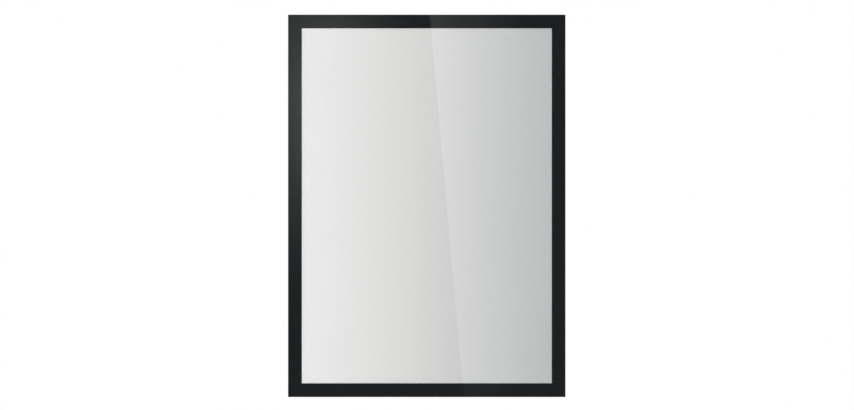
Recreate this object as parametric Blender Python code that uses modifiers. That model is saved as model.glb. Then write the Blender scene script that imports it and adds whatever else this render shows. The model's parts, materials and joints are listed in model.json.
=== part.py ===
"""Self-adhesive window sign frame for an A3 sheet, upright and closed.

It is a thin laminated frame. A back panel of clear film is stuck to the window by four adhesive strips and carries
four magnet strips. The cover is a black border over a clear window film, with four more magnet strips behind them,
and swings open on a creased film along the left long side. The sheet lies in the pocket between the two.

Metres, +Z up, +X to the right as seen from the front. The front faces -Y. The origin is the middle of the plane of the
window, which the adhesive touches, and a layer's depth is how far its back face stands in front of that plane.
"""

import math

import bmesh
import bpy
from mathutils import Vector

MM = 0.001

# The sheet on show
SHEET_W = 297 * MM
SHEET_H = 420 * MM
SHEET_T = 0.15 * MM
SHEET_LAP = 2 * MM  # how far the border covers each edge of the sheet
SHEET_PLAY = 1 * MM  # room between each edge of a centred sheet and the magnets
SHEET_GAP = 0.05 * MM  # from the sheet to the magnet below it

# Strips round the pocket
MAGNET_W = 12 * MM
MAGNET_BUTT_GAP = 0.4 * MM  # between the end of a short strip and the side of a long one
MAGNET_EDGE = 0.08 * MM  # the magnet strips' rounded-over edges
TAPE_W = 9 * MM
TAPE_BUTT_GAP = 3 * MM
COVER_LIP = 1 * MM  # border past the magnets, which a finger lifts

# Layers, from the window to the front
TAPE_T = 0.15 * MM
BACK_FILM_T = 0.3 * MM
BACK_MAGNET_T = 0.5 * MM
HINGE_FILM_T = 0.08 * MM
FOLD_GAP = 0.08 * MM  # between the two leaves of the folded hinge film
FRONT_MAGNET_T = 0.3 * MM
WINDOW_FILM_T = 0.15 * MM
BORDER_T = 0.25 * MM
GLUE_LINE = 0.03 * MM  # the glue between two layers, left empty

# Hinge film
HINGE_LEAF_W = 11 * MM
HINGE_END_GAP = 4 * MM  # from each end of the hinge film to the cover's edge
CREASE_GAP = 0.05 * MM  # from each leaf to the crease

# Cut edges and corners of the films
WINDOW_FILM_INSET = 0.5 * MM  # from the edge of the window film to the border's
BORDER_EDGE = 0.08 * MM  # the border's rounded-over edges
FILM_CORNER_R = 0.5 * MM
WINDOW_CORNER_R = 0.3 * MM
CORNER_STEPS = 5

# Outlines that follow from these
POCKET_W = SHEET_W + 2 * SHEET_PLAY
POCKET_H = SHEET_H + 2 * SHEET_PLAY
WINDOW_W = SHEET_W - 2 * SHEET_LAP
WINDOW_H = SHEET_H - 2 * SHEET_LAP
STRIPS_W = POCKET_W + 2 * MAGNET_W
STRIPS_H = POCKET_H + 2 * MAGNET_W
COVER_W = STRIPS_W + 2 * COVER_LIP
COVER_H = STRIPS_H + 2 * COVER_LIP

# Depths of the layers' back faces
TAPE_AT = 0.0
BACK_FILM_AT = TAPE_AT + TAPE_T + GLUE_LINE
BACK_MAGNET_AT = BACK_FILM_AT + BACK_FILM_T + GLUE_LINE
BACK_LEAF_AT = BACK_MAGNET_AT + BACK_MAGNET_T + GLUE_LINE
FRONT_LEAF_AT = BACK_LEAF_AT + HINGE_FILM_T + FOLD_GAP
FRONT_MAGNET_AT = FRONT_LEAF_AT + HINGE_FILM_T + GLUE_LINE
WINDOW_FILM_AT = FRONT_MAGNET_AT + FRONT_MAGNET_T + GLUE_LINE
BORDER_AT = WINDOW_FILM_AT + WINDOW_FILM_T + GLUE_LINE
SHEET_AT = BACK_MAGNET_AT + BACK_MAGNET_T - SHEET_T  # level with the front of the magnets

# The crease, on which the cover turns
CREASE_X = -COVER_W / 2
CREASE_AT = FRONT_LEAF_AT - FOLD_GAP / 2

FLAT_TO_FRONT = (math.pi / 2, 0, 0)  # turns an outline drawn in X and Y to face the front


def clear_scene():
    for old in list(bpy.data.objects):
        bpy.data.objects.remove(old)


def new_collection(name):
    made = bpy.data.collections.new(name)
    bpy.context.scene.collection.children.link(made)
    return made


def new_empty(collection, name, location, parent=None):
    """An empty that carries one body of the frame."""
    empty = bpy.data.objects.new(name, None)
    empty.empty_display_size = 20 * MM
    empty.parent = parent
    empty.location = Vector(location)
    collection.objects.link(empty)
    return empty


def new_material(name, colour, roughness, metallic=0.0, transmission=0.0):
    """A Principled material. colour is linear red, green and blue."""
    made = bpy.data.materials.new(name)
    made.use_nodes = True
    made.diffuse_color = (*colour, 1)
    shader = made.node_tree.nodes["Principled BSDF"]
    shader.inputs["Base Color"].default_value = (*colour, 1)
    shader.inputs["Roughness"].default_value = roughness
    shader.inputs["Metallic"].default_value = metallic
    shader.inputs["Transmission Weight"].default_value = transmission
    return made


def make_materials():
    return {
        "clear_film": new_material("clear_film", (0.94, 0.95, 0.95), 0.04, transmission=1.0),
        "border_film": new_material("border_film", (0.014, 0.0145, 0.016), 0.25),
        "magnet_rubber": new_material("magnet_rubber", (0.028, 0.026, 0.025), 0.8),
        "hinge_film": new_material("hinge_film", (0.02, 0.02, 0.021), 0.45),
        "adhesive": new_material("adhesive", (0.75, 0.76, 0.72), 0.35, transmission=0.5),
        "paper": new_material("paper", (0.84, 0.84, 0.82), 0.9),
    }


def rounded_rectangle(width, height, radius):
    """Points of a rectangle round the origin, anticlockwise, with each corner an arc."""
    points = []
    for corner, (side_x, side_y) in enumerate(((1, 1), (-1, 1), (-1, -1), (1, -1))):
        centre_x = side_x * (width / 2 - radius)
        centre_y = side_y * (height / 2 - radius)
        for step in range(CORNER_STEPS + 1):
            angle = (corner + step / CORNER_STEPS) * math.pi / 2
            points.append((centre_x + radius * math.cos(angle), centre_y + radius * math.sin(angle)))
    return points


def die_cut(collection, name, outlines, thickness, edge=0.0):
    """A flat film: filled outlines, of which the second is a hole, with their edges rounded over by edge."""
    curve = bpy.data.curves.new(name, "CURVE")
    curve.dimensions = "2D"
    curve.fill_mode = "BOTH"
    curve.extrude = thickness / 2 - edge
    curve.bevel_depth = edge
    curve.bevel_resolution = 1
    curve.offset = -edge
    for outline in outlines:
        spline = curve.splines.new("POLY")
        spline.points.add(len(outline) - 1)
        for point, (x, y) in zip(spline.points, outline):
            point.co = (x, y, 0, 1)
        spline.use_cyclic_u = True
    film = bpy.data.objects.new(name, curve)
    film.rotation_euler = FLAT_TO_FRONT
    collection.objects.link(film)
    return film


def strip(collection, name, size_x, size_z, thickness, edge=0.0):
    """A straight strip cut from a roll, with its edges broken by edge."""
    mesh = bpy.data.meshes.new(name)
    shape = bmesh.new()
    bmesh.ops.create_cube(shape, size=1)
    bmesh.ops.scale(shape, vec=(size_x, thickness, size_z), verts=shape.verts)
    shape.to_mesh(mesh)
    shape.free()
    cut = bpy.data.objects.new(name, mesh)
    collection.objects.link(cut)
    if edge > 0:
        bevel = cut.modifiers.new("broken_edges", "BEVEL")
        bevel.width = edge
        bevel.segments = 1
    return cut


def place(piece, body, material, x, depth, z, thickness):
    """Puts a piece's back face at this depth, on the body whose empty is given, in this material."""
    piece.parent = body
    piece.location = Vector((x, -depth - thickness / 2, z)) - body.location
    piece.data.materials.append(material)


def strips_round(inner_w, inner_h, width, butt_gap):
    """Side, centre x, centre z, size x and size z of four strips round an opening: two long ones and two between."""
    across = (inner_w + width) / 2
    up = (inner_h + width) / 2
    long_size = (width, inner_h + 2 * width)
    short_size = (inner_w - 2 * butt_gap, width)
    return (
        ("top", 0, up, *short_size),
        ("bottom", 0, -up, *short_size),
        ("left", -across, 0, *long_size),
        ("right", across, 0, *long_size),
    )


def make_adhesive_tapes(collection, body, material):
    """Four tapes on the back, each along the middle of the magnet in front of it."""
    wider = MAGNET_W - TAPE_W
    for side, x, z, size_x, size_z in strips_round(POCKET_W + wider, POCKET_H + wider, TAPE_W, TAPE_BUTT_GAP):
        tape = strip(collection, f"adhesive_tape_{side}", size_x, size_z, TAPE_T)
        place(tape, body, material, x, TAPE_AT, z, TAPE_T)


def make_magnets(collection, body, material, prefix, depth, thickness):
    """Four magnet strips round the pocket."""
    for side, x, z, size_x, size_z in strips_round(POCKET_W, POCKET_H, MAGNET_W, MAGNET_BUTT_GAP):
        magnet = strip(collection, f"{prefix}_magnet_{side}", size_x, size_z, thickness, MAGNET_EDGE)
        place(magnet, body, material, x, depth, z, thickness)


def make_back_sheet(collection, body, material):
    """Clear back film, flush with the magnets on three sides and with the crease on the fourth."""
    width = STRIPS_W / 2 - CREASE_X
    outline = rounded_rectangle(width, STRIPS_H, FILM_CORNER_R)
    film = die_cut(collection, "back_sheet", [outline], BACK_FILM_T)
    place(film, body, material, CREASE_X + width / 2, BACK_FILM_AT, 0, BACK_FILM_T)


def make_insert_sheet(collection, body, material):
    """The sheet on show, which stands on the bottom magnet."""
    sheet = strip(collection, "insert_sheet", SHEET_W, SHEET_H, SHEET_T)
    place(sheet, body, material, 0, SHEET_AT, SHEET_GAP - SHEET_PLAY, SHEET_T)


def make_window_film(collection, body, material):
    """Clear film over the window, which runs on behind the border almost to its edge."""
    width = COVER_W - 2 * WINDOW_FILM_INSET
    height = COVER_H - 2 * WINDOW_FILM_INSET
    film = die_cut(collection, "window_film", [rounded_rectangle(width, height, FILM_CORNER_R)], WINDOW_FILM_T)
    place(film, body, material, 0, WINDOW_FILM_AT, 0, WINDOW_FILM_T)


def make_front_border(collection, body, material):
    """Black ring round the window, cut in one piece."""
    outlines = [
        rounded_rectangle(COVER_W, COVER_H, FILM_CORNER_R),
        rounded_rectangle(WINDOW_W, WINDOW_H, WINDOW_CORNER_R),
    ]
    border = die_cut(collection, "front_border", outlines, BORDER_T, BORDER_EDGE)
    place(border, body, material, 0, BORDER_AT, 0, BORDER_T)


def make_hinge_leaf(collection, body, material, name, depth):
    """Half of the creased film: a leaf glued to the left magnet's face, from the crease inwards."""
    leaf = strip(collection, name, HINGE_LEAF_W, COVER_H - 2 * HINGE_END_GAP, HINGE_FILM_T)
    place(leaf, body, material, CREASE_X + CREASE_GAP + HINGE_LEAF_W / 2, depth, 0, HINGE_FILM_T)


def make_back_panel(collection, body, materials):
    make_adhesive_tapes(collection, body, materials["adhesive"])
    make_back_sheet(collection, body, materials["clear_film"])
    make_magnets(collection, body, materials["magnet_rubber"], "back", BACK_MAGNET_AT, BACK_MAGNET_T)
    make_hinge_leaf(collection, body, materials["hinge_film"], "hinge_leaf_back", BACK_LEAF_AT)
    make_insert_sheet(collection, body, materials["paper"])


def make_cover(collection, body, materials):
    make_hinge_leaf(collection, body, materials["hinge_film"], "hinge_leaf_front", FRONT_LEAF_AT)
    make_magnets(collection, body, materials["magnet_rubber"], "front", FRONT_MAGNET_AT, FRONT_MAGNET_T)
    make_window_film(collection, body, materials["clear_film"])
    make_front_border(collection, body, materials["border_film"])


def main():
    clear_scene()
    collection = new_collection("window_sign_frame")
    materials = make_materials()
    back_panel = new_empty(collection, "back_panel", (0, 0, 0))
    cover_hinge = new_empty(collection, "cover_hinge", (CREASE_X, -CREASE_AT, 0), back_panel)
    make_back_panel(collection, back_panel, materials)
    make_cover(collection, cover_hinge, materials)


main()
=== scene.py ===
"""Looks of a self-adhesive window sign frame, in the order in which the frame is put together."""
import json
import math

import bmesh
import bpy
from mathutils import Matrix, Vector


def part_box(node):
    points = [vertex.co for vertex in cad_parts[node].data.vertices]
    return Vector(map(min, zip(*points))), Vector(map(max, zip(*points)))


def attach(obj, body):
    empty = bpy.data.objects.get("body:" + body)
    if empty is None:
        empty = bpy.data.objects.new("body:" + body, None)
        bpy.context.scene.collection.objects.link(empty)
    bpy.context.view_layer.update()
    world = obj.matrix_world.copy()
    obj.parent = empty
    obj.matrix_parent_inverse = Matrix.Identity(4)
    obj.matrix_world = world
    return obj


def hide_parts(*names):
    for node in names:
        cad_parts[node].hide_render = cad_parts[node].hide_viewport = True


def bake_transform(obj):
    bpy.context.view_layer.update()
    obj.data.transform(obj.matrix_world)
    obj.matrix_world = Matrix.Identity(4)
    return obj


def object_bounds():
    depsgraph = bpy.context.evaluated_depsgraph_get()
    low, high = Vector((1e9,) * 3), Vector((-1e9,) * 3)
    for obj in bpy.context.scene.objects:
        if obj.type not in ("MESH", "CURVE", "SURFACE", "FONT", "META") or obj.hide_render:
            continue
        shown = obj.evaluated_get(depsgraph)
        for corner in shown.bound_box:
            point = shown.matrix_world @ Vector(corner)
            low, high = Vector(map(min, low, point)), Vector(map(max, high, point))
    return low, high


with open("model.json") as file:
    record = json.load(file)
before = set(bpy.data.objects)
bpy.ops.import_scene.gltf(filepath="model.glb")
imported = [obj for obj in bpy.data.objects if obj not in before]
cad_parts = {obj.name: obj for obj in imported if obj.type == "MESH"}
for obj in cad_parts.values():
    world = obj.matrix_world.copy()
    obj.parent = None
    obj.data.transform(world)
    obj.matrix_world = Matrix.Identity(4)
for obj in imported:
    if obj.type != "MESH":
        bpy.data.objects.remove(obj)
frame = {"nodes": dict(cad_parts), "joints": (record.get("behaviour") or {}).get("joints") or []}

cad_box = [list(corner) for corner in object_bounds()]

# Back film: the panel that carries the rest, of clear polyester (PET) film, 0.3 mm thick, drawn flat and
# die-cut. Tapes are stuck to its back, magnets and hinge to its front. It is the CAD's own sheet.

MM = 0.001
FILM_REFLECTANCE = 0.05  # PET has an IOR of 1.58
GRAZING_POWER = 5.0
FILM_HAZE_MM = 14


def linear(code):
    """Turn an sRGB hex colour into the linear colour that a node takes."""
    channels = [int(code[start:start + 2], 16) / 255 for start in (1, 3, 5)]
    return tuple(c / 12.92 if c <= 0.04045 else ((c + 0.055) / 1.055) ** 2.4 for c in channels) + (1.0,)


def per_metre(size_mm):
    """The texture scale that gives features of about this size, on coordinates in metres."""
    return 1.0 / (size_mm * MM)


def add(tree, kind, sockets={}, **settings):
    """Add a node to a tree: set its settings, and fill each socket with a value or with a link."""
    node = tree.nodes.new(kind)
    for name, value in settings.items():
        setattr(node, name, value)
    for key, value in sockets.items():
        if isinstance(value, bpy.types.NodeSocket):
            tree.links.new(value, node.inputs[key])
        else:
            node.inputs[key].default_value = value
    return node


def new_finish(name):
    """Start a material with an empty node tree."""
    finish = bpy.data.materials.new(name)
    finish.use_nodes = True
    finish.node_tree.nodes.clear()
    return finish, finish.node_tree


def surface_place(tree):
    """The place of a point on a piece's surface, in metres."""
    return add(tree, "ShaderNodeTexCoord").outputs["Object"]


def surface(tree, shader):
    """Put a shader on the material's surface."""
    add(tree, "ShaderNodeOutputMaterial", {"Surface": shader.outputs[0]})


def clear_film(name, tint, roughness_range, wave_mm, wave_height):
    """Clear drawn PET film: a sharp reflection on both faces, over what shows through."""
    finish, tree = new_finish(name)
    place = surface_place(tree)
    # Each face throws back 5 % seen straight on and nearly all at a grazing angle, from inside as from
    # outside, because the light leaves a thin film at the angle at which it came in.
    facing = add(tree, "ShaderNodeLayerWeight", {"Blend": 0.5}).outputs["Facing"]
    grazing = add(tree, "ShaderNodeMath", {0: facing, 1: GRAZING_POWER}, operation="POWER").outputs[0]
    mirror = add(tree, "ShaderNodeMath", {0: grazing, 1: 1 - FILM_REFLECTANCE, 2: FILM_REFLECTANCE},
                 operation="MULTIPLY_ADD").outputs[0]
    # Drawn film is never quite flat: long, very low waves run through its reflections.
    waves = add(tree, "ShaderNodeTexNoise", {
        "Vector": place, "Scale": per_metre(wave_mm), "Detail": 1.0}).outputs["Fac"]
    normal = add(tree, "ShaderNodeBump", {"Height": waves, "Distance": wave_height}).outputs[0]
    haze = add(tree, "ShaderNodeTexNoise", {
        "Vector": place, "Scale": per_metre(FILM_HAZE_MM), "Detail": 3.0}).outputs["Fac"]
    roughness = add(tree, "ShaderNodeMapRange", {
        "Value": haze, "To Min": roughness_range[0], "To Max": roughness_range[1]}).outputs[0]
    through = add(tree, "ShaderNodeBsdfTransparent", {"Color": linear(tint)})
    polish = add(tree, "ShaderNodeBsdfAnisotropic", {"Roughness": roughness, "Normal": normal})
    surface(tree, add(tree, "ShaderNodeMixShader", {0: mirror, 1: through.outputs[0], 2: polish.outputs[0]}))
    return finish


def dress(node, finish):
    """Give a CAD node its finish."""
    mesh = frame["nodes"][node].data
    mesh.materials.clear()
    mesh.materials.append(finish)


dress("back_sheet", clear_film(
    "drawn clear PET film, back", tint="#FDFDFD", roughness_range=(0.03, 0.06),
    wave_mm=60, wave_height=4e-6))

# Adhesive tapes: four strips of double-sided acrylic tape along the panel's edges, their liners peeled
# off. They are slit from a roll and pressed on by hand, and look milky with fine air bubbles under them.

TAPE_EDGE = 0.03 * MM
BUBBLE_CELL_MM, MILK_CLOUD_MM = 2.2, 9


def new_object(name, data):
    """Put an object in the scene, at the origin."""
    thing = bpy.data.objects.new(name, data)
    bpy.context.scene.collection.objects.link(thing)
    return thing


def run_tree(name, tree, values):
    """Make a plain mesh object by a Geometry Nodes tree with these inputs."""
    piece = new_object(name, bpy.data.meshes.new(name))
    modifier = piece.modifiers.new(tree.name, "NODES")
    modifier.node_group = tree
    for item in tree.interface.items_tree:
        if item.in_out == "INPUT":
            modifier[item.identifier] = values[item.name]
    depsgraph = bpy.context.evaluated_depsgraph_get()
    made = bpy.data.meshes.new_from_object(piece.evaluated_get(depsgraph))
    piece.modifiers.remove(modifier)
    piece.data = made
    return piece


def new_tree(name, numbers):
    """Start a Geometry Nodes tree with these inputs and a finish, and give its input sockets."""
    tree = bpy.data.node_groups.new(name, "GeometryNodeTree")
    tree.interface.new_socket("Piece", in_out="OUTPUT", socket_type="NodeSocketGeometry")
    for number in numbers:
        tree.interface.new_socket(number, in_out="INPUT", socket_type="NodeSocketFloat")
    tree.interface.new_socket("Finish", in_out="INPUT", socket_type="NodeSocketMaterial")
    return tree, add(tree, "NodeGroupInput").outputs


def close_tree(tree, geometry, finish):
    """End a tree: instances made real, faces flat, so that a flat face mirrors as one, and finished."""
    real = add(tree, "GeometryNodeRealizeInstances", {"Geometry": geometry}).outputs[0]
    flat = add(tree, "GeometryNodeSetShadeSmooth", {"Geometry": real, "Shade Smooth": False}).outputs[0]
    finished = add(tree, "GeometryNodeSetMaterial", {"Geometry": flat, "Material": finish}).outputs[0]
    add(tree, "NodeGroupOutput", {0: finished})


def make_strip_tree():
    """Four slit strips round a rectangle: two upright at the sides, two lying between them."""
    tree, size = new_tree("slit strips round the pocket", (
        "Strip Width", "Thickness", "Edge Radius", "Depth",
        "Side Spacing", "Side Length", "Cross Spacing", "Cross Length"))
    outline = add(tree, "GeometryNodeCurvePrimitiveQuadrilateral",
                  {"Width": size["Strip Width"], "Height": size["Thickness"]}).outputs[0]
    outline = add(tree, "GeometryNodeFilletCurve",
                  {"Curve": outline, "Radius": size["Edge Radius"], "Count": 2}, mode="POLY").outputs[0]
    # A pair's two strips, 0 and 1, stand half their spacing to either side of the middle.
    index = add(tree, "GeometryNodeInputIndex").outputs[0]
    side = add(tree, "ShaderNodeMath", {0: index, 1: 0.5}, operation="SUBTRACT").outputs[0]
    pairs = []
    for length, spacing, axis, turn in (("Side Length", "Side Spacing", "X", 0.0),
                                        ("Cross Length", "Cross Spacing", "Z", math.pi / 2)):
        half = add(tree, "ShaderNodeMath", {0: size[length], 1: 0.5}, operation="MULTIPLY").outputs[0]
        start = add(tree, "ShaderNodeMath", {0: half, 1: -1.0}, operation="MULTIPLY").outputs[0]
        path = add(tree, "GeometryNodeCurvePrimitiveLine", {
            "Start": add(tree, "ShaderNodeCombineXYZ", {"Z": start}).outputs[0],
            "End": add(tree, "ShaderNodeCombineXYZ", {"Z": half}).outputs[0]}).outputs[0]
        strip = add(tree, "GeometryNodeCurveToMesh",
                    {"Curve": path, "Profile Curve": outline, "Fill Caps": True}).outputs[0]
        # The strip's own place, across in X and along in Z, carries the marks of slitting and rolling.
        strip = add(tree, "GeometryNodeStoreNamedAttribute", {
            "Geometry": strip, "Name": "strip_place",
            "Value": add(tree, "GeometryNodeInputPosition").outputs[0]},
            data_type="FLOAT_VECTOR", domain="POINT").outputs[0]
        offset = add(tree, "ShaderNodeMath", {0: side, 1: size[spacing]}, operation="MULTIPLY").outputs[0]
        middle = add(tree, "ShaderNodeCombineXYZ", {axis: offset, "Y": size["Depth"]}).outputs[0]
        points = add(tree, "GeometryNodePoints", {"Count": 2, "Position": middle}).outputs[0]
        pairs.append(add(tree, "GeometryNodeInstanceOnPoints", {
            "Points": points, "Instance": strip, "Rotation": (0.0, turn, 0.0)}).outputs[0])
    joined = add(tree, "GeometryNodeJoinGeometry")
    for pair in pairs:
        tree.links.new(pair, joined.inputs[0])
    close_tree(tree, joined.outputs[0], size["Finish"])
    return tree


STRIP_TREE = make_strip_tree()


def make_strips(name, layer, edge_radius, finish):
    """Make the four strips of one layer in one mesh, at the sizes and places of the CAD's strips."""
    nodes = [f"{layer}_{side}" for side in ("left", "right", "top", "bottom")]
    left, right, top, bottom = (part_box(node) for node in nodes)
    strips = run_tree(name, STRIP_TREE, {
        "Strip Width": left[1].x - left[0].x,
        "Thickness": left[1].y - left[0].y,
        "Edge Radius": edge_radius,
        "Depth": (left[0].y + left[1].y) / 2,
        "Side Spacing": right[0].x - left[0].x,
        "Side Length": left[1].z - left[0].z,
        "Cross Spacing": top[0].z - bottom[0].z,
        "Cross Length": top[1].x - top[0].x,
        "Finish": finish,
    })
    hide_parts(*nodes)
    return strips


def milky_tape():
    """Acrylic tape: milky and half clear, with bubbles about 1 mm wide where it lies less tight."""
    finish, tree = new_finish("milky acrylic tape")
    place = surface_place(tree)
    # A bubble ends 0.12 to 0.22 of a cell from its middle, and looks milkier than the tape round it.
    bubbles = add(tree, "ShaderNodeTexVoronoi", {
        "Vector": place, "Scale": per_metre(BUBBLE_CELL_MM)}).outputs["Distance"]
    milkiness = add(tree, "ShaderNodeMapRange", {
        "Value": bubbles, "From Min": 0.12, "From Max": 0.22, "To Min": 0.36, "To Max": 0.22}).outputs[0]
    cloud = add(tree, "ShaderNodeTexNoise", {
        "Vector": place, "Scale": per_metre(MILK_CLOUD_MM), "Detail": 4.0}).outputs["Fac"]
    # A Mix node has numbers at inputs 2 and 3, vectors at 4 and 5, and colours at 6 and 7.
    milk = add(tree, "ShaderNodeMix", {
        0: cloud, 6: linear("#DCDDD6"), 7: linear("#EEEEE8")}, data_type="RGBA").outputs[2]
    dents = add(tree, "ShaderNodeBump", {
        "Height": bubbles, "Strength": 0.4, "Distance": 0.03 * MM}).outputs[0]
    tack = add(tree, "ShaderNodeBsdfPrincipled", {
        "Base Color": milk, "Roughness": 0.32, "IOR": 1.47, "Normal": dents})
    clear = add(tree, "ShaderNodeBsdfTransparent")
    surface(tree, add(tree, "ShaderNodeMixShader", {0: milkiness, 1: clear.outputs[0], 2: tack.outputs[0]}))
    return finish


tapes = make_strips("mounting_tapes", "adhesive_tape", TAPE_EDGE, milky_tape())
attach(tapes, "back_panel")

# Back magnets: four flat strips glued to the panel's front, of ferrite powder in rubber, rolled to
# 0.5 mm and slit to 12 mm. They butt at the corners and hold the cover shut.

MAGNET_EDGE = 0.08 * MM
ROLLER_LINE_MM, FERRITE_SPECK_MM = 0.7, 1.4


def rolled_magnet_rubber():
    """Magnetic rubber: dark brown-grey, dull, with fine roller lines along it and specks of ferrite."""
    finish, tree = new_finish("rolled magnetic rubber")
    own_place = add(tree, "ShaderNodeAttribute", attribute_name="strip_place").outputs["Vector"]
    # Roller lines are about 0.1 mm apart on the real strip, too fine to show: they are drawn 0.7 mm apart.
    stretched = add(tree, "ShaderNodeMapping", {"Vector": own_place, "Scale": (1.0, 1.0, 0.01)}).outputs[0]
    lines = add(tree, "ShaderNodeTexNoise", {
        "Vector": stretched, "Scale": per_metre(ROLLER_LINE_MM), "Detail": 3.0}).outputs["Fac"]
    specks = add(tree, "ShaderNodeTexNoise", {
        "Vector": surface_place(tree), "Scale": per_metre(FERRITE_SPECK_MM),
        "Detail": 5.0, "Roughness": 0.7}).outputs["Fac"]
    mixed = add(tree, "ShaderNodeMix", {0: 0.4, 2: lines, 3: specks}, data_type="FLOAT").outputs[0]
    marks = add(tree, "ShaderNodeMapRange", {
        "Value": mixed, "From Min": 0.34, "From Max": 0.66}).outputs[0]
    colour = add(tree, "ShaderNodeMix", {
        0: marks, 6: linear("#232120"), 7: linear("#393633")}, data_type="RGBA").outputs[2]
    roughness = add(tree, "ShaderNodeMapRange", {
        "Value": marks, "To Min": 0.52, "To Max": 0.78}).outputs[0]
    grooves = add(tree, "ShaderNodeBump", {
        "Height": marks, "Strength": 0.6, "Distance": 0.02 * MM}).outputs[0]
    surface(tree, add(tree, "ShaderNodeBsdfPrincipled", {
        "Base Color": colour, "Roughness": roughness, "IOR": 1.52, "Normal": grooves}))
    return finish


MAGNET_RUBBER = rolled_magnet_rubber()
back_magnets = make_strips("back_magnet_strips", "back_magnet", MAGNET_EDGE, MAGNET_RUBBER)
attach(back_magnets, "back_panel")

# Blank poster sheet: plain A3, 297 by 420 mm, of smooth uncoated paper, its front painted with a grey
# shade that deepens to the right, in place of light falling off across it. Its foot stands on the bottom
# magnet strip, and the rest leans forward, close to the window film.

# Each ramp runs from left to right through colours at these places, in mm from the sheet's middle.
# The front's ramp is painted shade, darker to the right; the back's is a near-even white.
FRONT_PAINTED_SHADE = ((-127, "#EFEFEF"), (-20, "#E1E1E0"), (48, "#D2D3D3"), (137, "#C3C5C6"))
BACK_WASH = ((-144, "#EBEBE9"), (137, "#E9E9E7"))
RAMP_REACH = 150 * MM
FIBRE_CLUMP_MM = 3
SHEET_BEND = 3.5 * MM
SHEET_LEAN, SHEET_RIPPLE = 0.42 * MM, 0.1 * MM
RIPPLES_ACROSS, RIPPLES_UP, RIPPLE_START = 1.5, 1.0, 0.6
SHARP_ANGLE = math.radians(30)


def uncoated_paper(name, stops):
    """Calendered uncoated paper, coloured by a ramp from left to right (painted shade on the front): smooth
    and dull, with a faint cloudiness of fibres.
    """
    finish, tree = new_finish(name)
    place = surface_place(tree)
    across = add(tree, "ShaderNodeSeparateXYZ", {0: place}).outputs["X"]
    spot = add(tree, "ShaderNodeMapRange", {
        "Value": across, "From Min": -RAMP_REACH, "From Max": RAMP_REACH}).outputs[0]
    # The ramp's colours go from left to right; on the sheet's front they are painted shade, darker to the
    # right.
    tone_and_shade_ramp = add(tree, "ShaderNodeValToRGB", {"Fac": spot})
    ramp = tone_and_shade_ramp.color_ramp
    while len(ramp.elements) < len(stops):
        ramp.elements.new(1.0)
    for stop, (x_mm, colour) in zip(ramp.elements, stops):
        stop.position = (x_mm * MM + RAMP_REACH) / (2 * RAMP_REACH)
        stop.color = linear(colour)
    # Fibres clump over 3 mm or so, and change the white by less than 1 %.
    clumps = add(tree, "ShaderNodeTexNoise", {
        "Vector": place, "Scale": per_metre(FIBRE_CLUMP_MM), "Detail": 6.0, "Roughness": 0.6}).outputs["Fac"]
    cloud = add(tree, "ShaderNodeMapRange", {
        "Value": clumps, "To Min": 0.992, "To Max": 1.008}).outputs[0]
    colour = add(tree, "ShaderNodeVectorMath", {
        0: tone_and_shade_ramp.outputs["Color"], "Scale": cloud}, operation="SCALE").outputs[0]
    tooth = add(tree, "ShaderNodeBump", {
        "Height": clumps, "Strength": 0.25, "Distance": 0.01 * MM}).outputs[0]
    surface(tree, add(tree, "ShaderNodeBsdfPrincipled", {
        "Base Color": colour, "Roughness": 0.82, "IOR": 1.5, "Normal": tooth}))
    return finish


def object_from(mesh, name):
    """Turn finished mesh code into an object."""
    data = bpy.data.meshes.new(name)
    mesh.to_mesh(data)
    mesh.free()
    return new_object(name, data)


def make_sheet(name, columns, rows):
    """A sheet of the CAD's size, its foot where the CAD has it. Its back takes the second finish."""
    low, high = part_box("insert_sheet")
    mesh = bmesh.new()
    sides = []
    for depth in (high.y, low.y):
        side = []
        for row in range(rows + 1):
            # The rows crowd together towards the foot, where the sheet bends forward.
            up = (row / rows) ** 2
            height = up * (high.z - low.z)
            bend = min(height / SHEET_BEND, 1.0)
            forward = bend * bend * (3 - 2 * bend)
            for column in range(columns + 1):
                across = column / columns
                turns = RIPPLES_ACROSS * across + RIPPLES_UP * up
                ripple = 0.5 + 0.5 * math.sin(2 * math.pi * turns + RIPPLE_START)
                side.append(mesh.verts.new((
                    low.x + across * (high.x - low.x),
                    depth - forward * (SHEET_LEAN + SHEET_RIPPLE * ripple),
                    low.z + height)))
        sides.append(side)
    back, front = sides
    width = columns + 1
    for row in range(rows):
        for column in range(columns):
            corner = row * width + column
            ring = (corner, corner + 1, corner + 1 + width, corner + width)
            mesh.faces.new([front[i] for i in ring])
            mesh.faces.new([back[i] for i in reversed(ring)]).material_index = 1
    rim = ([column for column in range(columns)]
           + [row * width + columns for row in range(rows)]
           + [rows * width + columns - column for column in range(columns)]
           + [(rows - row) * width for row in range(rows)])
    for here, there in zip(rim, rim[1:] + rim[:1]):
        mesh.faces.new((front[there], front[here], back[here], back[there]))
    sheet = object_from(mesh, name)
    sheet.data.polygons.foreach_set("use_smooth", [True] * len(sheet.data.polygons))
    sheet.data.set_sharp_from_angle(angle=SHARP_ANGLE)
    return sheet


poster = make_sheet("blank_poster_sheet", columns=24, rows=34)
# The front takes painted shade that darkens to the right; the back takes the paper's near-even white.
poster.data.materials.append(uncoated_paper("uncoated paper with painted shade to the right", FRONT_PAINTED_SHADE))
poster.data.materials.append(uncoated_paper("plain back of uncoated paper", BACK_WASH))
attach(poster, "back_panel")
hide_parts("insert_sheet")

# Window film: the cover's clear pane of glossy PET film, 0.15 mm thick, laminated to the back of the
# black border and running almost to its edge. It is the CAD's own sheet.

dress("window_film", clear_film(
    "drawn clear PET film, front", tint="#FFFFFF", roughness_range=(0.012, 0.022),
    wave_mm=90, wave_height=2e-6))

# Black border: one ring die-cut from black PVC film, 0.25 mm thick and 16 mm wide, with sharp corners and
# an edge that the cutting rule leaves slightly round. Its face is press-polished, so it mirrors.

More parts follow.
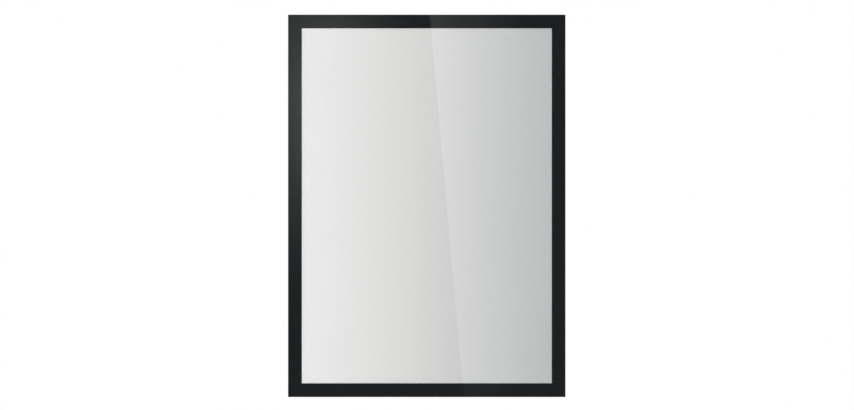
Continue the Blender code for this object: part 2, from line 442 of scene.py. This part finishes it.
BORDER_WIDTH = 16 * MM
PIGMENT_CLOUD_MM = 5
ORANGE_PEEL_MM, ORANGE_PEEL_HEIGHT = 2, 0.4e-6


def make_ring_tree():
    """A die-cut ring: a rounded section carried round from the outer edge to the window's edge."""
    tree, size = new_tree("die-cut ring", (
        "Outer Width", "Outer Height", "Border Width", "Thickness", "Depth",
        "Outer Corner Radius", "Window Corner Radius", "Edge Radius"))

    def cut_line(width, height, radius):
        """A rectangle with round corners."""
        shape = add(tree, "GeometryNodeCurvePrimitiveQuadrilateral",
                    {"Width": width, "Height": height}).outputs[0]
        return add(tree, "GeometryNodeFilletCurve",
                   {"Curve": shape, "Radius": radius, "Count": 6}, mode="POLY").outputs[0]

    def less_two_borders(length):
        """A length across the ring turned into the same length across its window."""
        return add(tree, "ShaderNodeMath", {0: size["Border Width"], 1: -2.0, 2: length},
                   operation="MULTIPLY_ADD").outputs[0]

    outer = cut_line(size["Outer Width"], size["Outer Height"], size["Outer Corner Radius"])
    window = cut_line(less_two_borders(size["Outer Width"]), less_two_borders(size["Outer Height"]),
                      size["Window Corner Radius"])
    section = cut_line(size["Border Width"], size["Thickness"], size["Edge Radius"])
    ring = add(tree, "GeometryNodeCurveToMesh", {"Curve": outer, "Profile Curve": section}).outputs[0]

    # The swept mesh gives only the order of the points. Each point is placed anew: where it is round the
    # ring says which pair of points on the two cut lines it lies between, and its place in the section
    # says how far from one to the other, so that the corners are mitred and the thickness stays even.
    count = add(tree, "GeometryNodeAttributeDomainSize", {"Geometry": section}, component="CURVE").outputs[0]
    index = add(tree, "GeometryNodeInputIndex").outputs[0]
    turn = add(tree, "ShaderNodeMath", {0: index, 1: count}, operation="DIVIDE").outputs[0]
    around = add(tree, "ShaderNodeMath", {0: turn}, operation="FLOOR").outputs[0]
    in_section = add(tree, "ShaderNodeMath", {0: index, 1: count}, operation="MODULO").outputs[0]
    position = add(tree, "GeometryNodeInputPosition").outputs[0]

    def point_on(curve, which):
        """The place of one of a curve's points."""
        return add(tree, "GeometryNodeSampleIndex", {"Geometry": curve, "Value": position, "Index": which},
                   data_type="FLOAT_VECTOR", domain="POINT").outputs[0]

    across = add(tree, "ShaderNodeSeparateXYZ", {0: point_on(section, in_section)}).outputs
    half_border = add(tree, "ShaderNodeMath", {
        0: size["Border Width"], 1: 0.5}, operation="MULTIPLY").outputs[0]
    start = add(tree, "ShaderNodeMath", {0: half_border, 1: -1.0}, operation="MULTIPLY").outputs[0]
    share = add(tree, "ShaderNodeMapRange", {
        "Value": across["X"], "From Min": start, "From Max": half_border}).outputs[0]
    between = add(tree, "ShaderNodeMix", {
        0: share, 4: point_on(outer, around), 5: point_on(window, around)}, data_type="VECTOR").outputs[1]
    flat = add(tree, "ShaderNodeSeparateXYZ", {0: between}).outputs
    depth = add(tree, "ShaderNodeMath", {0: across["Y"], 1: size["Depth"]}, operation="ADD").outputs[0]
    upright = add(tree, "ShaderNodeCombineXYZ", {"X": flat["X"], "Y": depth, "Z": flat["Y"]}).outputs[0]
    ring = add(tree, "GeometryNodeSetPosition", {"Geometry": ring, "Position": upright}).outputs[0]
    # Standing the ring up turns it inside out, so its faces are flipped.
    ring = add(tree, "GeometryNodeFlipFaces", {"Mesh": ring}).outputs[0]
    close_tree(tree, ring, size["Finish"])
    return tree


def polished_black_pvc():
    """Calendered black PVC film, press-polished: a deep grey-black with a clear, nearly flat mirror."""
    finish, tree = new_finish("press-polished black PVC film")
    place = surface_place(tree)
    # Pigment is mixed in unevenly over a few millimetres, and shifts the black by up to 2 levels of 255.
    pigment = add(tree, "ShaderNodeTexNoise", {
        "Vector": place, "Scale": per_metre(PIGMENT_CLOUD_MM), "Detail": 4.0}).outputs["Fac"]
    colour = add(tree, "ShaderNodeMix", {
        0: pigment, 6: linear("#1D1E20"), 7: linear("#1F2022")}, data_type="RGBA").outputs[2]
    # The press leaves an orange peel of 2 mm waves, under a micron high, that hardly bends a reflection.
    peel = add(tree, "ShaderNodeTexNoise", {
        "Vector": place, "Scale": per_metre(ORANGE_PEEL_MM), "Detail": 2.0}).outputs["Fac"]
    normal = add(tree, "ShaderNodeBump", {"Height": peel, "Distance": ORANGE_PEEL_HEIGHT}).outputs[0]
    roughness = add(tree, "ShaderNodeMapRange", {
        "Value": pigment, "To Min": 0.015, "To Max": 0.03}).outputs[0]
    surface(tree, add(tree, "ShaderNodeBsdfPrincipled", {
        "Base Color": colour, "Roughness": roughness, "IOR": 1.53, "Normal": normal}))
    return finish


border_low, border_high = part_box("front_border")
border = run_tree("black_border", make_ring_tree(), {
    "Outer Width": border_high.x - border_low.x,
    "Outer Height": border_high.z - border_low.z,
    "Border Width": BORDER_WIDTH,
    "Thickness": border_high.y - border_low.y,
    "Depth": (border_low.y + border_high.y) / 2,
    "Outer Corner Radius": 0.5 * MM,
    "Window Corner Radius": 0.3 * MM,
    "Edge Radius": 0.04 * MM,
    "Finish": polished_black_pvc(),
})
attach(border, "cover")
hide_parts("front_border")

# Front magnets: four more strips, rolled to 0.3 mm, glued behind the window film all round. They lie
# face to face with the back ones when the cover is shut.

front_magnets = make_strips("front_magnet_strips", "front_magnet", MAGNET_EDGE, MAGNET_RUBBER)
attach(front_magnets, "cover")

# Hinge film: one strip of black polypropylene film, 0.08 mm thick and 440 mm long, creased down its
# middle. One half is glued to the left back magnet, the other to the left front magnet.

CREASE = Vector(frame["joints"][0]["pos_m"])
HINGE_GRAIN_MM = 0.9


def embossed_black_film():
    """Black polypropylene film: satin, embossed with a fine grain so that it slides and doesn't stick."""
    finish, tree = new_finish("embossed black polypropylene film")
    # The real grain is 0.3 mm: it is drawn at 0.9 mm, so that it shows.
    grain = add(tree, "ShaderNodeTexVoronoi", {
        "Vector": surface_place(tree), "Scale": per_metre(HINGE_GRAIN_MM)}).outputs["Distance"]
    colour = add(tree, "ShaderNodeMix", {
        0: grain, 6: linear("#1B1B1C"), 7: linear("#2A2A2B")}, data_type="RGBA").outputs[2]
    pebbles = add(tree, "ShaderNodeBump", {
        "Height": grain, "Strength": 0.5, "Distance": 0.03 * MM}).outputs[0]
    surface(tree, add(tree, "ShaderNodeBsdfPrincipled", {
        "Base Color": colour, "Roughness": 0.45, "IOR": 1.49, "Normal": pebbles}))
    return finish


def make_hinge(name, bend_steps):
    """The creased strip, shut: a half against each magnet, and a tight bend round the crease between."""
    back_low, back_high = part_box("hinge_leaf_back")
    front_low, front_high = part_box("hinge_leaf_front")
    inside = (back_low.y - front_high.y) / 2
    outside = (back_high.y - front_low.y) / 2
    middle = (back_low.y + front_high.y) / 2
    bend_x = CREASE.x + outside
    bend = [math.pi * step / bend_steps for step in range(bend_steps + 1)]
    rings = []
    for radius in (outside, inside):
        line = [(bend_x - radius * math.sin(angle), middle + radius * math.cos(angle)) for angle in bend]
        rings.append([(back_high.x, middle + radius)] + line + [(front_high.x, middle - radius)])
    mesh = bmesh.new()
    ends = [[[mesh.verts.new((x, y, z)) for x, y in ring] for ring in rings]
            for z in (back_low.z, back_high.z)]
    (outer_0, inner_0), (outer_1, inner_1) = ends
    for here in range(len(outer_0) - 1):
        there = here + 1
        mesh.faces.new((outer_0[here], outer_1[here], outer_1[there], outer_0[there]))
        mesh.faces.new((inner_0[there], inner_1[there], inner_1[here], inner_0[here]))
        mesh.faces.new((inner_0[here], outer_0[here], outer_0[there], inner_0[there]))
        mesh.faces.new((outer_1[here], inner_1[here], inner_1[there], outer_1[there]))
    for end in (0, -1):
        mesh.faces.new((outer_0[end], inner_0[end], inner_1[end], outer_1[end]))
    bmesh.ops.recalc_face_normals(mesh, faces=mesh.faces)
    hinge = object_from(mesh, name)
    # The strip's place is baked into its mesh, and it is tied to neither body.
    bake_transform(hinge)
    return hinge


hinge = make_hinge("creased_hinge_film", bend_steps=12)
hinge.data.materials.append(embossed_black_film())
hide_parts("hinge_leaf_back", "hinge_leaf_front")

# Floor and surroundings: a white sweep, with a pale floor some way below the frame, which keeps the
# frame's shadow, and white all round.

FLOOR_DROP, FLOOR_REACH = 360 * MM, 6.0
FLOOR_MOTTLE_MM = 120
PAINT_REACH, WHITE_REACH = 0.4, 1.1
WHITE_NEAR_FRAME = 0.45
AMBIENT = 0.45


def seen_directly(tree):
    """1 for a camera, mirror or see-through ray and 0 for one that lights the object."""
    ray = add(tree, "ShaderNodeLightPath").outputs
    either = add(tree, "ShaderNodeMath", {
        0: ray["Is Camera Ray"], 1: ray["Is Glossy Ray"]}, operation="MAXIMUM").outputs[0]
    return add(tree, "ShaderNodeMath", {
        0: either, 1: ray["Is Transmission Ray"]}, operation="MAXIMUM").outputs[0]


def pale_floor():
    """Matt white paint near the frame, which runs out into the background's plain white further off."""
    finish, tree = new_finish("matt white sweep")
    place = surface_place(tree)
    mottle = add(tree, "ShaderNodeTexNoise", {
        "Vector": place, "Scale": per_metre(FLOOR_MOTTLE_MM), "Detail": 3.0}).outputs["Fac"]
    paint = add(tree, "ShaderNodeMix", {
        0: mottle, 6: linear("#E9E9E8"), 7: linear("#EFEFEE")}, data_type="RGBA").outputs[2]
    matt = add(tree, "ShaderNodeBsdfDiffuse", {"Color": paint})
    reach = add(tree, "ShaderNodeVectorMath", {0: place}, operation="LENGTH").outputs["Value"]
    white = add(tree, "ShaderNodeMapRange", {
        "Value": reach, "From Min": PAINT_REACH, "From Max": WHITE_REACH,
        "To Min": WHITE_NEAR_FRAME, "To Max": 1.0}).outputs[0]
    share = add(tree, "ShaderNodeMath", {0: white, 1: seen_directly(tree)}, operation="MULTIPLY").outputs[0]
    background = add(tree, "ShaderNodeEmission")
    surface(tree, add(tree, "ShaderNodeMixShader", {0: share, 1: matt.outputs[0], 2: background.outputs[0]}))
    return finish


def flat_stage(name, corners, finish):
    """A flat four-cornered surface of the studio."""
    data = bpy.data.meshes.new(name)
    data.from_pydata(corners, [], [tuple(range(len(corners)))])
    data.materials.append(finish)
    new_object(name, data)


flat_stage("floor", [(x * FLOOR_REACH, y * FLOOR_REACH, -FLOOR_DROP)
                     for x, y in ((-1, -1), (1, -1), (1, 1), (-1, 1))], pale_floor())

world = bpy.data.worlds.new("white studio")
bpy.context.scene.world = world
world.use_nodes = True
world.node_tree.nodes.clear()
level = add(world.node_tree, "ShaderNodeMapRange", {
    "Value": seen_directly(world.node_tree), "To Min": AMBIENT, "To Max": 1.0}).outputs[0]
sky = add(world.node_tree, "ShaderNodeBackground", {"Color": (1.0, 1.0, 1.0, 1.0), "Strength": level})
add(world.node_tree, "ShaderNodeOutputWorld", {"Surface": sky.outputs[0]})

# Lamps: a tall soft box to the left of the camera, near enough to square on that the border throws no
# shadow on the sheet, a wide one overhead for the floor and the edges, and a weak one behind.

FRAME_MIDDLE = Vector((0.0, 0.0, 0.0))


def soft_box(name, place, width, height, watts):
    """A soft lamp that lights the frame but isn't seen itself, nor in a mirror: the white room is."""
    lamp = bpy.data.lights.new(name, "AREA")
    lamp.shape = "RECTANGLE"
    lamp.size = width
    lamp.size_y = height
    lamp.energy = watts
    box = new_object(name, lamp)
    box.location = place
    box.rotation_euler = (FRAME_MIDDLE - Vector(place)).to_track_quat("-Z", "Y").to_euler()
    box.visible_camera = box.visible_glossy = False


soft_box("left soft box", place=(-0.75, -2.3, -0.12), width=0.8, height=1.4, watts=44)
soft_box("overhead soft box", place=(0.0, 0.0, 1.9), width=1.4, height=1.4, watts=18)
soft_box("rear soft box", place=(0.9, 1.7, 0.6), width=1.2, height=1.2, watts=27)

# Camera: square on to the front, level with its middle to within 1 mm, as the photograph was taken, and
# as far back as an 85 mm lens needs to frame it.

CAMERA_DISTANCE = 2.3625
CAMERA_AIM = Vector((0.27 * MM, cad_box[0][1], 1.0 * MM))
lens = bpy.data.cameras.new("camera")
lens.lens = 85.0
lens.sensor_width = 36.0
lens.clip_end = 50.0
camera = new_object("camera", lens)
camera.location = CAMERA_AIM - Vector((0.0, CAMERA_DISTANCE, 0.0))
camera.rotation_euler = (math.pi / 2, 0.0, 0.0)
bpy.context.scene.camera = camera
bpy.context.scene.view_settings.view_transform = "Standard"

# Reflection cards: stage pieces that only the gloss sees. A black flag with soft edges keeps the white
# room out of the front's mirror, and dim cards before it give the slanting reflection and the glow.

CARD_DISTANCE = 0.95
HALF_WIDTH, HALF_HEIGHT = border_high.x, border_high.z
WINDOW_X, WINDOW_Z = HALF_WIDTH - BORDER_WIDTH, HALF_HEIGHT - BORDER_WIDTH
FLAG_MARGIN, FLAG_FADE, FLAG_FOOT_FADE = 12 * MM, 240 * MM, 20 * MM
FLAG_X, FLAG_TOP = HALF_WIDTH + FLAG_MARGIN + FLAG_FADE, HALF_HEIGHT + FLAG_MARGIN + FLAG_FADE
FLAG_FOOT = -HALF_HEIGHT - FLAG_MARGIN - FLAG_FOOT_FADE


def mirrored(x, z, distance):
    """The point at this distance before the front that the camera sees in the front's mirror at x, z."""
    stretch = distance / CAMERA_DISTANCE
    return (x + (x - CAMERA_AIM.x) * stretch, cad_box[0][1] - distance, z + (z - CAMERA_AIM.z) * stretch)


def reflection_card(name, finish, outline, brightness, steps, distance=CARD_DISTANCE):
    """A card that shows in the front's mirror over an outline of four corners, given on the front."""
    columns, rows = steps
    lower_left, lower_right, upper_right, upper_left = (Vector(corner) for corner in outline)
    spots = []
    for row in range(rows + 1):
        for column in range(columns + 1):
            along = column / columns
            foot, top = lower_left.lerp(lower_right, along), upper_left.lerp(upper_right, along)
            spots.append(foot.lerp(top, row / rows))
    width = columns + 1
    faces = [(i, i + 1, i + 1 + width, i + width)
             for row in range(rows) for i in range(row * width, row * width + columns)]
    data = bpy.data.meshes.new(name)
    data.from_pydata([mirrored(spot.x, spot.y, distance) for spot in spots], [], faces)
    levels = data.attributes.new("brightness", "FLOAT", "POINT")
    levels.data.foreach_set("value", [brightness(spot.x, spot.y) for spot in spots])
    data.materials.append(finish)
    card = new_object(name, data)
    card.visible_camera = card.visible_diffuse = card.visible_shadow = card.visible_transmission = False


def card_finish(name, colour):
    """A card as bright as its brightness attribute says."""
    finish, tree = new_finish(name)
    level = add(tree, "ShaderNodeAttribute", attribute_name="brightness").outputs["Fac"]
    surface(tree, add(tree, "ShaderNodeEmission", {"Color": colour, "Strength": level}))
    return finish


def rectangle(left, right, bottom, top):
    """Corners of an upright rectangle on the front, from lower left round to upper left."""
    return ((left, bottom), (right, bottom), (right, top), (left, top))


def flag_brightness(x, z):
    """The flag's brightness: none behind the cards, and up to the room's white at its outer edge."""
    out = (max(abs(x) - HALF_WIDTH, z - HALF_HEIGHT) - FLAG_MARGIN) / FLAG_FADE
    below = (-z - HALF_HEIGHT - FLAG_MARGIN) / FLAG_FOOT_FADE
    share = min(max(out, below, 0.0), 1.0)
    return share * share * (3 - 2 * share)


WHITE_CARD = card_finish("white card", linear("#FFFFFF"))
TINTED_CARD = card_finish("card of a faintly green white", linear("#FAFFF8"))
reflection_card("black flag", WHITE_CARD, rectangle(-FLAG_X, FLAG_X, FLAG_FOOT, FLAG_TOP),
                flag_brightness, steps=(80, 160), distance=CARD_DISTANCE + FLAG_MARGIN)

# The slanting reflection starts at a straight line down the front. On the border it fades to nothing on
# the right, and in the window it reaches the edge. Each glare is the light that it adds to the front.
SLANT_TOP, SLANT_BOTTOM = 3.55 * MM, 43.43 * MM
BORDER_REFLECTANCE, WINDOW_REFLECTANCE = 0.044, 0.0755
TOP_GLARE, TOP_FADE_END = 0.0245, 114 * MM
BOTTOM_GLARE, BOTTOM_FADE_END = 0.0064, 102 * MM
WINDOW_FOOT_GLARE, WINDOW_GLARE_RISE, WINDOW_GLARE_FALL = 0.0485, 0.023, 0.6


def slant(z):
    """Where the slanting reflection starts at this height."""
    return SLANT_TOP + (HALF_HEIGHT - z) / (2 * HALF_HEIGHT) * (SLANT_BOTTOM - SLANT_TOP)


def slanted(right, bottom, top):
    """Corners of the part of an upright rectangle to the right of the slant."""
    return ((slant(bottom), bottom), (right, bottom), (right, top), (slant(top), top))


def fading(glare, fade_end):
    """A brightness on the border that falls evenly from the slant to nothing."""
    return lambda x, z: max(0.0, glare * (fade_end - x) / (fade_end - slant(z))) / BORDER_REFLECTANCE


def window_brightness(x, z):
    """The reflection in the window: brightest at the top, and fading from the slant to the right."""
    height = (z + WINDOW_Z) / (2 * WINDOW_Z)
    out = (x - slant(z)) / (WINDOW_X - slant(z))
    glare = (WINDOW_FOOT_GLARE + WINDOW_GLARE_RISE * height) * (1 - WINDOW_GLARE_FALL * out)
    return glare / WINDOW_REFLECTANCE


reflection_card("top border card", TINTED_CARD, slanted(TOP_FADE_END, WINDOW_Z, HALF_HEIGHT),
                fading(TOP_GLARE, TOP_FADE_END), steps=(24, 2))
reflection_card("bottom border card", WHITE_CARD, slanted(BOTTOM_FADE_END, -HALF_HEIGHT, -WINDOW_Z),
                fading(BOTTOM_GLARE, BOTTOM_FADE_END), steps=(16, 2))
reflection_card("window card", WHITE_CARD, slanted(WINDOW_X, -WINDOW_Z, WINDOW_Z),
                window_brightness, steps=(12, 24))

# The glow is an oval patch of light that only the left and top of the border catch.
GLOW_CENTRE, GLOW_RADII = (-120.3 * MM, 120.6 * MM), (138.2 * MM, 268.4 * MM)
GLOW_GLARE, GLOW_FALL = 0.0703, 2.154
GLOW_FOOT = -150 * MM


def glow(x, z):
    """The glow's brightness at a point on the border."""
    out = math.hypot((x - GLOW_CENTRE[0]) / GLOW_RADII[0], (z - GLOW_CENTRE[1]) / GLOW_RADII[1])
    return GLOW_GLARE * max(0.0, 1.0 - out) ** GLOW_FALL / BORDER_REFLECTANCE


reflection_card("left glow card", TINTED_CARD, rectangle(-HALF_WIDTH, -WINDOW_X, GLOW_FOOT, HALF_HEIGHT),
                glow, steps=(4, 60))
reflection_card("top glow card", TINTED_CARD,
                rectangle(-WINDOW_X, slant(HALF_HEIGHT), WINDOW_Z, HALF_HEIGHT), glow, steps=(36, 4))
